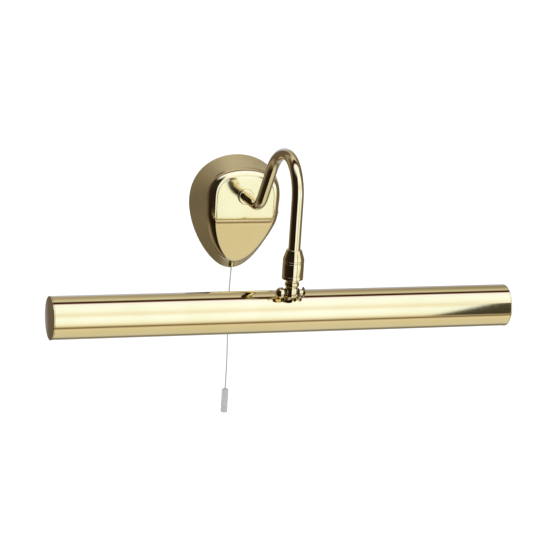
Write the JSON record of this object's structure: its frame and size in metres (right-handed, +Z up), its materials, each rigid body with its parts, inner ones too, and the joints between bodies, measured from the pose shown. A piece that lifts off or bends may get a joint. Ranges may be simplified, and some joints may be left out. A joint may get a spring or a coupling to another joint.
{
  "type": "picture light",
  "caption": "Wall picture light: tubular shade on a tilting saddle, swivel, swan-neck arm and pull-switch wall box.",
  "frame": {"origin": "centre of the two wall screws, on the wall's face, which is also the centre of the cable hole", "axes": "+Z up the wall, +Y into the wall, +X along the shade to the right as seen from the room"},
  "size_m": [0.4, 0.1774, 0.2735],
  "materials": {
    "polished_brass": "mirror polished, clear lacquer",
    "plated_steel": "bright zinc plate",
    "plain_brass": "plain turned",
    "white_moulding": "moulded",
    "brown_moulding": "moulded",
    "holder_moulding": "moulded thermoplastic",
    "friction_fibre": "pressed fibre",
    "brown_insulation": "flexible insulation",
    "blue_insulation": "flexible insulation",
    "green_insulation": "flexible insulation",
    "flex_sheath": "flexible sheath",
    "cord_braid": "fine braided cord",
    "pull_moulding": "gloss moulded",
    "lamp_cap_metal": "rolled thread, bright",
    "frosted_glass": "frosted"
  },
  "bodies": {
    "wall_unit": {"wall_bracket": "plated_steel", "cover_catch": "plated_steel", "wall_cover": "polished_brass", "cover_screw": "plated_steel", "arm_tube": "polished_brass", "arm_collar": "polished_brass", "arm_washer": "plated_steel", "arm_nut": "plated_steel", "terminal_block": "white_moulding", "terminal_sleeves": "plain_brass", "terminal_screws": "plated_steel", "earth_screw": "plain_brass", "switch_body": "brown_moulding", "switch_screws": "plated_steel", "cord_bush": "plain_brass", "live_lead": "brown_insulation", "neutral_lead": "blue_insulation", "switch_leads": "brown_insulation", "earth_lead": "green_insulation", "arm_flex": "flex_sheath", "swivel_cap": "polished_brass", "swivel_socket": "polished_brass"},
    "pull": {"switch_slider": "white_moulding", "pull_cord": "cord_braid", "cord_pull": "pull_moulding"},
    "neck": {"swivel_stem": "polished_brass", "swivel_washer": "plated_steel", "spring_washer": "plated_steel", "swivel_nut": "plain_brass", "neck_flex": "flex_sheath"},
    "shade": {"saddle": "polished_brass", "tilt_screw_left": "polished_brass", "tilt_screw_right": "polished_brass", "friction_washers": "friction_fibre", "shade_tube": "polished_brass", "end_cap_left": "polished_brass", "end_cap_right": "polished_brass", "saddle_screws": "plated_steel", "holder_bracket": "plated_steel", "lampholder_left": "holder_moulding", "lampholder_right": "holder_moulding", "holder_nuts": "plated_steel", "holder_contacts": "plain_brass", "lamp_cap_left": "lamp_cap_metal", "lamp_cap_right": "lamp_cap_metal", "lamp_glass_left": "frosted_glass", "lamp_glass_right": "frosted_glass", "shade_flex": "flex_sheath", "shade_leads": "brown_insulation"}
  },
  "joints": [
    {"name": "switch_pull", "type": "slide", "parent": "wall_unit", "child": "pull", "axis": [0, 0, -1], "range_m": [0, 0.004], "stiffness_N_per_m": 400, "springref_m": -0.004},
    {"name": "swivel", "type": "hinge", "parent": "wall_unit", "child": "neck", "pos_m": [0, -0.1685, -0.0187], "axis": [0, 0, 1], "range_deg": [-45, 45]},
    {"name": "tilt", "type": "hinge", "parent": "neck", "child": "shade", "pos_m": [0, -0.1685, -0.03], "axis": [1, 0, 0], "range_deg": [-50, 40]}
  ]
}
